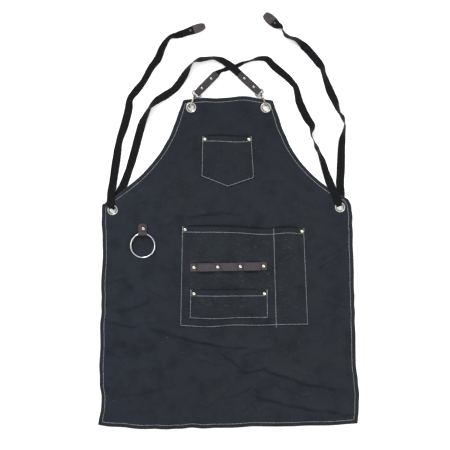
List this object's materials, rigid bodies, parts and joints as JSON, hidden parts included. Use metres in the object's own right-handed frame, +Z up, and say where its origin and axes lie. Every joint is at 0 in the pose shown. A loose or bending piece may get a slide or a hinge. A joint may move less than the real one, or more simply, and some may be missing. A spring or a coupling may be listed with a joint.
{
  "type": "work apron",
  "caption": "Hemmed canvas bib apron laid flat, with riveted patch pockets, a leather tool strip, a steel tool ring and cross-back webbing straps that hook on at the bib.",
  "frame": {"origin": "on the surface that the apron lies on, under the middle of its whole outline, straps included", "axes": "+Z up from the surface, through the apron from back to front; +Y towards the neck; +X to the right as seen from the front"},
  "size_m": [0.7042, 1.123, 0.0211],
  "materials": {
    "canvas": "waxed heavy cotton canvas, matt, with faint pale creases",
    "webbing": "black cotton webbing, matt",
    "leather": "dark oiled leather, low sheen",
    "nickel": "bright nickel plate",
    "rivet_metal": "pale plated caps, domed and bright"
  },
  "bodies": {
    "apron": {"apron_panel": "canvas", "chest_pocket": "canvas", "main_pocket": "canvas", "small_pocket": "canvas", "strap_left": "webbing", "strap_right": "webbing", "tool_strip": "leather", "ring_tab": "leather", "hook_tab_left": "leather", "hook_tab_right": "leather", "strap_tip_left": "leather", "strap_tip_right": "leather", "grommet_bib_left": "nickel", "grommet_bib_right": "nickel", "grommet_waist_left": "nickel", "grommet_waist_right": "nickel", "hook_eye_left": "nickel", "hook_eye_right": "nickel", "hook_left": "nickel", "hook_right": "nickel", "hook_tab_left_rivet_1": "nickel", "hook_tab_left_rivet_2": "nickel", "hook_tab_right_rivet_1": "nickel", "hook_tab_right_rivet_2": "nickel", "strap_tip_left_rivet": "nickel", "strap_tip_right_rivet": "nickel", "chest_pocket_rivet_left": "rivet_metal", "chest_pocket_rivet_right": "rivet_metal", "main_pocket_rivet_left": "rivet_metal", "main_pocket_rivet_right": "rivet_metal", "small_pocket_rivet_left": "rivet_metal", "small_pocket_rivet_right": "rivet_metal", "tool_strip_rivet_1": "rivet_metal", "tool_strip_rivet_2": "rivet_metal", "tool_strip_rivet_3": "rivet_metal", "tool_strip_rivet_4": "rivet_metal", "ring_tab_rivet": "rivet_metal"},
    "ring": {"tool_ring": "nickel"}
  },
  "joints": [
    {"name": "ring_swing", "type": "hinge", "parent": "apron", "child": "ring", "pos_m": [-0.2276, -0.0365, 0.0087], "axis": [-1, 0, 0], "range_deg": [0, 165]}
  ]
}
